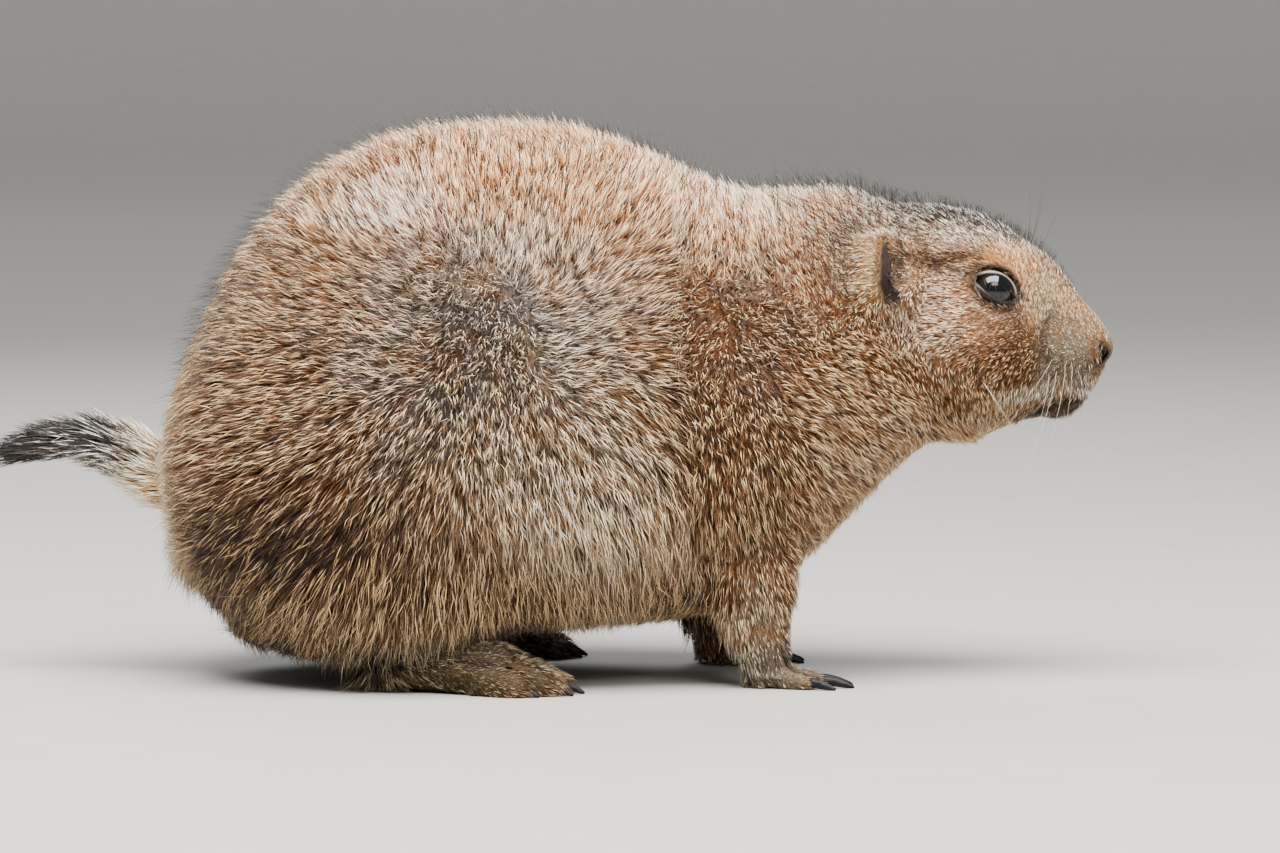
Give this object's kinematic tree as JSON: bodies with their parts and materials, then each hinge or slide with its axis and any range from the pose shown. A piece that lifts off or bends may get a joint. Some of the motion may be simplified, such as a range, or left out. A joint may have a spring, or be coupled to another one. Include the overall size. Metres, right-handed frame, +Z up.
{
  "type": "prairie dog",
  "caption": "Life-size still model of a prairie dog crouched on all fours, round furry body, head level, tail held low behind.",
  "frame": {"origin": "on the floor, at the middle of the footprint of the whole animal", "axes": "+X towards the nose, +Y towards the animal's left side, +Z up"},
  "size_m": [0.3126, 0.1312, 0.1554],
  "materials": {
    "coat": "short dense fur, reddish tan with pale tips",
    "coat_pale": "short cream fur",
    "coat_dark": "long black and white tail hair",
    "paw": "short flat hair over skin",
    "claw": "horn, satin",
    "eye": "wet gloss"
  },
  "bodies": {
    "root": {"head": "coat", "neck": "coat", "chest": "coat", "waist": "coat", "hips": "coat", "rump": "coat", "ear_right": "coat_pale", "eye_right": "eye", "upper_arm_right": "coat", "forearm_right": "coat", "forefoot_right": "paw", "thigh_right": "coat", "hindfoot_right": "paw", "claw_fore_right_1": "claw", "claw_hind_right_1": "claw", "claw_fore_right_2": "claw", "claw_hind_right_2": "claw", "claw_fore_right_3": "claw", "claw_hind_right_3": "claw", "claw_fore_right_4": "claw", "claw_hind_right_4": "claw", "claw_fore_right_5": "claw", "claw_hind_right_5": "claw", "ear_left": "coat_pale", "eye_left": "eye", "upper_arm_left": "coat", "forearm_left": "coat", "forefoot_left": "paw", "thigh_left": "coat", "hindfoot_left": "paw", "claw_fore_left_1": "claw", "claw_hind_left_1": "claw", "claw_fore_left_2": "claw", "claw_hind_left_2": "claw", "claw_fore_left_3": "claw", "claw_hind_left_3": "claw", "claw_fore_left_4": "claw", "claw_hind_left_4": "claw", "claw_fore_left_5": "claw", "claw_hind_left_5": "claw", "tail_base": "coat_pale", "tail_brush": "coat_dark"}
  },
  "joints": []
}
